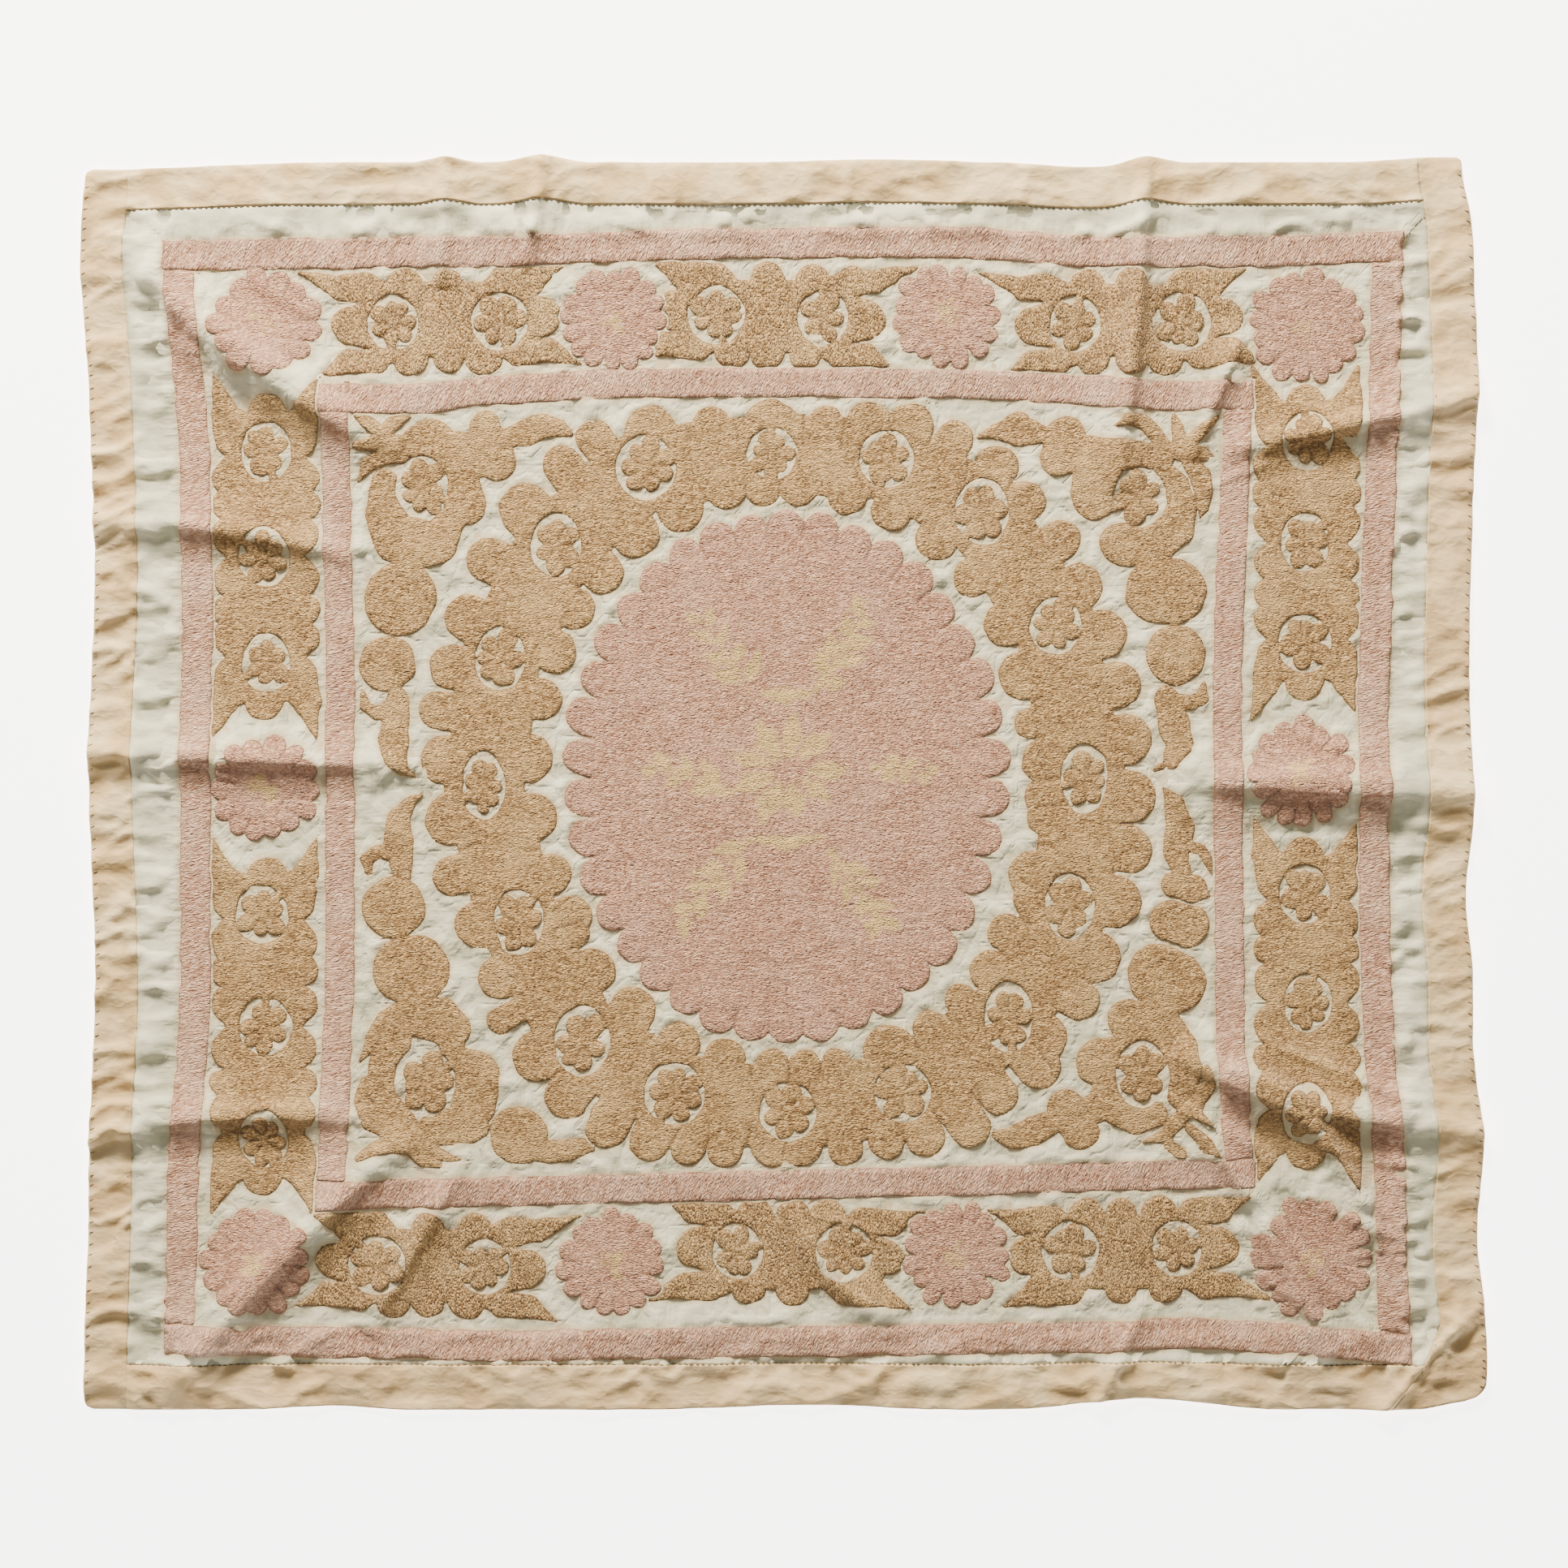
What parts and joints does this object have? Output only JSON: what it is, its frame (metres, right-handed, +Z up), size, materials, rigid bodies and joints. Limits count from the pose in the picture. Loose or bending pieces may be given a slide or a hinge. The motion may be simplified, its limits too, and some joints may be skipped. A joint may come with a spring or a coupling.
{
  "type": "embroidered tablecloth",
  "caption": "Rectangular cotton tablecloth laid flat with soft creases, pale ground framed by cream strips and covered in raised pink and sand thread: medallion, wreath, frames and blocks",
  "frame": {"origin": "on the flat underside of the ground panel, under the middle of the cloth", "axes": "+X runs along the long side to the right edge, +Y towards the top edge, and +Z up through the thread side"},
  "size_m": [1.5063, 1.3418, 0.0235],
  "materials": {
    "ground_cloth": "plain-woven undyed cotton, off-white with a faint grey-green cast, softly creased",
    "strip_cloth": "plain-woven cotton, warm cream, wrinkled, with small dark overcast stitches along its edge",
    "pink_thread": "faded pink cotton thread, laid and couched, with a grainy raised surface",
    "sand_thread": "sand-brown cotton thread, laid and couched, with a grainy raised surface"
  },
  "bodies": {
    "root": {"ground_panel": "ground_cloth", "strip_left": "strip_cloth", "strip_right": "strip_cloth", "strip_top": "strip_cloth", "strip_bottom": "strip_cloth", "outer_frame_top": "pink_thread", "outer_frame_right": "pink_thread", "outer_frame_bottom": "pink_thread", "outer_frame_left": "pink_thread", "inner_frame_top": "pink_thread", "inner_frame_right": "pink_thread", "inner_frame_bottom": "pink_thread", "inner_frame_left": "pink_thread", "medallion": "pink_thread", "rosette_top_left": "pink_thread", "rosette_top_mid_left": "pink_thread", "rosette_top_mid_right": "pink_thread", "rosette_top_right": "pink_thread", "rosette_left": "pink_thread", "rosette_right": "pink_thread", "rosette_bottom_left": "pink_thread", "rosette_bottom_mid_left": "pink_thread", "rosette_bottom_mid_right": "pink_thread", "rosette_bottom_right": "pink_thread", "wreath_quarter_1": "sand_thread", "wreath_quarter_2": "sand_thread", "wreath_quarter_3": "sand_thread", "wreath_quarter_4": "sand_thread", "block_top_left": "sand_thread", "block_top_middle": "sand_thread", "block_top_right": "sand_thread", "block_bottom_left": "sand_thread", "block_bottom_middle": "sand_thread", "block_bottom_right": "sand_thread", "block_left_upper": "sand_thread", "block_left_lower": "sand_thread", "block_right_upper": "sand_thread", "block_right_lower": "sand_thread", "spray_top_left": "sand_thread", "spray_top_right": "sand_thread", "spray_bottom_left": "sand_thread", "spray_bottom_right": "sand_thread"}
  },
  "joints": []
}
